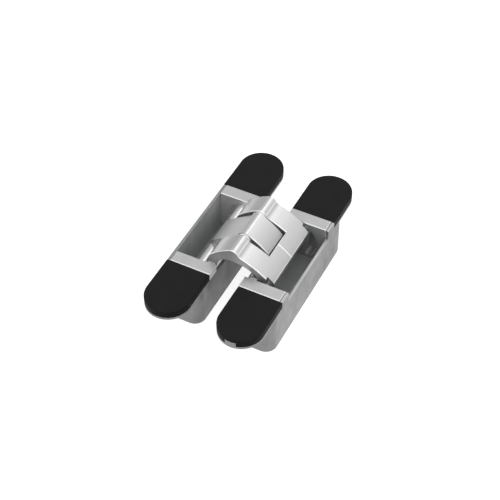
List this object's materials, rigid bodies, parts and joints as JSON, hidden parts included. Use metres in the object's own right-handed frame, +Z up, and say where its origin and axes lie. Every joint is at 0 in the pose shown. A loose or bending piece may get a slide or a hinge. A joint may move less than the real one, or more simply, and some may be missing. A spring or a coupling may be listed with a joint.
{
  "type": "concealed door hinge",
  "caption": "Concealed door hinge laid open flat: cast housings with black end covers, joined by crossed nickel arms that fold into the pockets as the door shuts.",
  "frame": {"origin": "middle of the opened hinge at the bottoms of the housings", "axes": "+X from the left half to the right half, +Y along the halves, +Z up out of the pockets"},
  "size_m": [0.064, 0.1244, 0.0401],
  "materials": {
    "housing_cast": "satin nickel on a zinc casting",
    "block_cast": "satin nickel on a zinc casting",
    "arm_nickel": "satin pearl nickel",
    "cover_plastic": "matte black",
    "pin_steel": "ground",
    "bush_steel": "polished",
    "screw_steel": "zinc plated"
  },
  "bodies": {
    "left_body": {"left_housing": "housing_cast", "left_pivot_pin": "pin_steel", "left_near_end_block": "block_cast", "left_near_cover": "cover_plastic", "left_near_clamp_screw": "screw_steel", "left_near_adjusting_cam": "screw_steel", "left_far_end_block": "block_cast", "left_far_cover": "cover_plastic", "left_far_clamp_screw": "screw_steel", "left_far_adjusting_cam": "screw_steel"},
    "outer_arm_body": {"right_slider_pin": "pin_steel", "right_near_slider_bush": "bush_steel", "right_far_slider_bush": "bush_steel", "near_outer_arm": "arm_nickel", "far_outer_arm": "arm_nickel", "cross_pin": "pin_steel"},
    "tongue_body": {"left_slider_pin": "pin_steel", "left_near_slider_bush": "bush_steel", "left_far_slider_bush": "bush_steel", "tongue_arm": "arm_nickel"},
    "right_body": {"right_housing": "housing_cast", "right_pivot_pin": "pin_steel", "right_near_end_block": "block_cast", "right_near_cover": "cover_plastic", "right_near_clamp_screw": "screw_steel", "right_near_adjusting_cam": "screw_steel", "right_far_end_block": "block_cast", "right_far_cover": "cover_plastic", "right_far_clamp_screw": "screw_steel", "right_far_adjusting_cam": "screw_steel"}
  },
  "joints": [
    {"name": "left_pivot", "type": "hinge", "parent": "left_body", "child": "outer_arm_body", "pos_m": [-0.0115, 0, 0.02455], "axis": [0, -1, 0], "range_deg": [0, 116.6]},
    {"name": "cross_pivot", "type": "hinge", "parent": "outer_arm_body", "child": "tongue_body", "pos_m": [0, 0, 0.03635], "axis": [0, -1, 0], "range_deg": [-53.2, 0]},
    {"name": "right_pivot", "type": "hinge", "parent": "tongue_body", "child": "right_body", "pos_m": [0.0115, 0, 0.02455], "axis": [0, -1, 0], "range_deg": [0, 116.6]}
  ],
  "couplings": [
    {"joint": "cross_pivot", "follows": "left_pivot", "ratio": -0.45622},
    {"joint": "right_pivot", "follows": "left_pivot", "ratio": 1}
  ]
}
